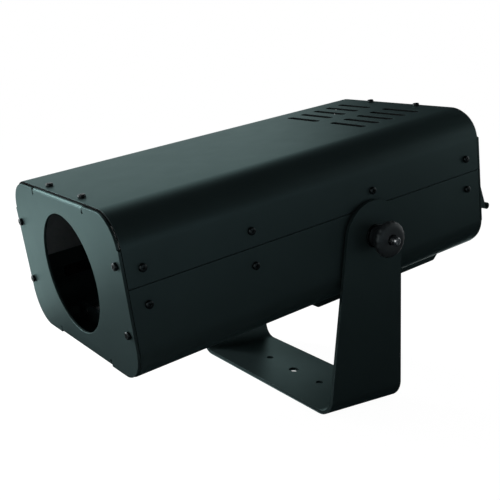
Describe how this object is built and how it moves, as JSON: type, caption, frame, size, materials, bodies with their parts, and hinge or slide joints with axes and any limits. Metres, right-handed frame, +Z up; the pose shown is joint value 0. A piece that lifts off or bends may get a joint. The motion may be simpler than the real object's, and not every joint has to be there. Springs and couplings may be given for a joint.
{
  "type": "followspot",
  "caption": "Compact followspot: a long rounded sheet-steel head with a round beam opening, rear vents and a sliding focus lens, tilting on hand knobs in a tapered bent yoke.",
  "frame": {"origin": "on the surface the yoke stands on, midway in the whole object's length and width", "axes": "+Z up, -Y the way the beam opening faces, +X towards the side that is on the right as one looks into the beam opening; the head is pitched 9.7 degrees nose down at rest"},
  "size_m": [0.2382, 0.3604, 0.232],
  "materials": {
    "powder_coat": "fine black powder coat, satin, on 1.5 mm sheet steel",
    "inner_steel": "plain zinc plated sheet steel",
    "bright_steel": "bright plated turned steel",
    "fibre": "pressed red-brown fibre",
    "black_screw": "black plated steel, semi-gloss",
    "aluminium": "satin mill finish",
    "driver_case": "dull extruded case, filled with potting compound",
    "led_board": "white coated metal-core circuit board",
    "lens_glass": "clear polished",
    "filter_red": "coated dichroic glass",
    "filter_amber": "coated dichroic glass",
    "filter_green": "coated dichroic glass",
    "filter_blue": "coated dichroic glass",
    "black_plastic": "moulded black plastic, fine grain",
    "switch_plastic": "smooth moulded black plastic"
  },
  "bodies": {
    "yoke": {"yoke": "powder_coat"},
    "head": {"top_shell": "powder_coat", "bottom_shell": "powder_coat", "front_plate": "powder_coat", "rear_plate": "powder_coat", "rear_hood": "powder_coat", "bottom_baffle": "powder_coat", "seam_rail_right": "inner_steel", "seam_rail_left_front": "inner_steel", "seam_rail_left_rear": "inner_steel", "rod_bracket": "inner_steel", "gate_plate": "inner_steel", "lock_washer_right": "bright_steel", "lock_washer_left": "bright_steel", "friction_washer_right": "fibre", "friction_washer_left": "fibre", "threaded_insert_right": "bright_steel", "threaded_insert_left": "bright_steel", "guide_rod_right": "bright_steel", "guide_rod_left": "bright_steel", "wheel_pin": "bright_steel", "face_screw_right_upper": "black_screw", "face_screw_left_upper": "black_screw", "face_screw_right_lower": "black_screw", "face_screw_left_lower": "black_screw", "side_screw_upper_1": "black_screw", "side_screw_upper_2": "black_screw", "side_screw_upper_3": "black_screw", "side_screw_upper_4": "black_screw", "side_screw_lower_1": "black_screw", "side_screw_lower_2": "black_screw", "side_screw_lower_4": "black_screw", "iris_housing": "aluminium", "condenser_tube": "aluminium", "condenser_lens": "lens_glass", "heat_sink": "aluminium", "led_driver": "driver_case", "led_board": "led_board", "fan_frame": "black_plastic", "mains_inlet": "black_plastic", "fuse_holder": "black_plastic", "switch_frame": "black_plastic", "dimmer_control": "aluminium"},
    "lock_right": {"lock_knob_right": "black_plastic", "lock_bolt_right": "bright_steel"},
    "lock_left": {"lock_knob_left": "black_plastic", "lock_bolt_left": "bright_steel"},
    "focus_carriage": {"lens_holder": "black_plastic", "objective_lens": "lens_glass", "lens_ring": "black_screw"},
    "focus_lock": {"focus_knob": "black_plastic"},
    "iris_lever": {"iris_ring": "black_screw"},
    "filter_wheel": {"colour_wheel": "aluminium", "colour_filter_1": "filter_red", "colour_filter_2": "filter_amber", "colour_filter_3": "filter_green", "colour_filter_4": "filter_blue"},
    "rotor": {"fan_rotor": "black_plastic"},
    "rocker": {"power_switch": "switch_plastic"},
    "dimmer": {"dimmer_knob": "black_plastic"}
  },
  "joints": [
    {"name": "head_tilt", "type": "hinge", "parent": "yoke", "child": "head", "pos_m": [0, 0.0339, 0.141], "axis": [1, 0, 0], "range_deg": [-59, 18]},
    {"name": "lock_right_turn", "type": "hinge", "parent": "head", "child": "lock_right", "pos_m": [0.11, 0.0339, 0.141], "axis": [1, 0, 0], "range_deg": [0, 180]},
    {"name": "lock_left_turn", "type": "hinge", "parent": "head", "child": "lock_left", "pos_m": [-0.11, 0.0339, 0.141], "axis": [-1, 0, 0], "range_deg": [0, 180]},
    {"name": "focus_slide", "type": "slide", "parent": "head", "child": "focus_carriage", "axis": [0, 0.9857, 0.1685], "range_m": [-0.022, 0.028]},
    {"name": "focus_lock_turn", "type": "hinge", "parent": "focus_carriage", "child": "focus_lock", "pos_m": [-0.09, -0.1116, 0.10193], "axis": [-1, 0, 0], "range_deg": [0, 180]},
    {"name": "iris_turn", "type": "hinge", "parent": "head", "child": "iris_lever", "pos_m": [0, -0.04016, 0.14102], "axis": [0, 0.9857, 0.1685], "range_deg": [-18, 18]},
    {"name": "filter_wheel_turn", "type": "hinge", "parent": "head", "child": "filter_wheel", "pos_m": [-0.04, -0.02094, 0.14431], "axis": [0, 0.9857, 0.1685], "continuous": true},
    {"name": "fan_spin", "type": "hinge", "parent": "head", "child": "rotor", "pos_m": [0, 0.13792, 0.18059], "axis": [0, 0.9857, 0.1685], "continuous": true},
    {"name": "switch_rock", "type": "hinge", "parent": "head", "child": "rocker", "pos_m": [0.022, 0.16297, 0.13314], "axis": [0, -0.1685, 0.9857], "range_deg": [0, 14]},
    {"name": "dimmer_turn", "type": "hinge", "parent": "head", "child": "dimmer", "pos_m": [0.058, 0.16701, 0.13382], "axis": [0, -0.9857, -0.1685], "range_deg": [0, 270]}
  ]
}
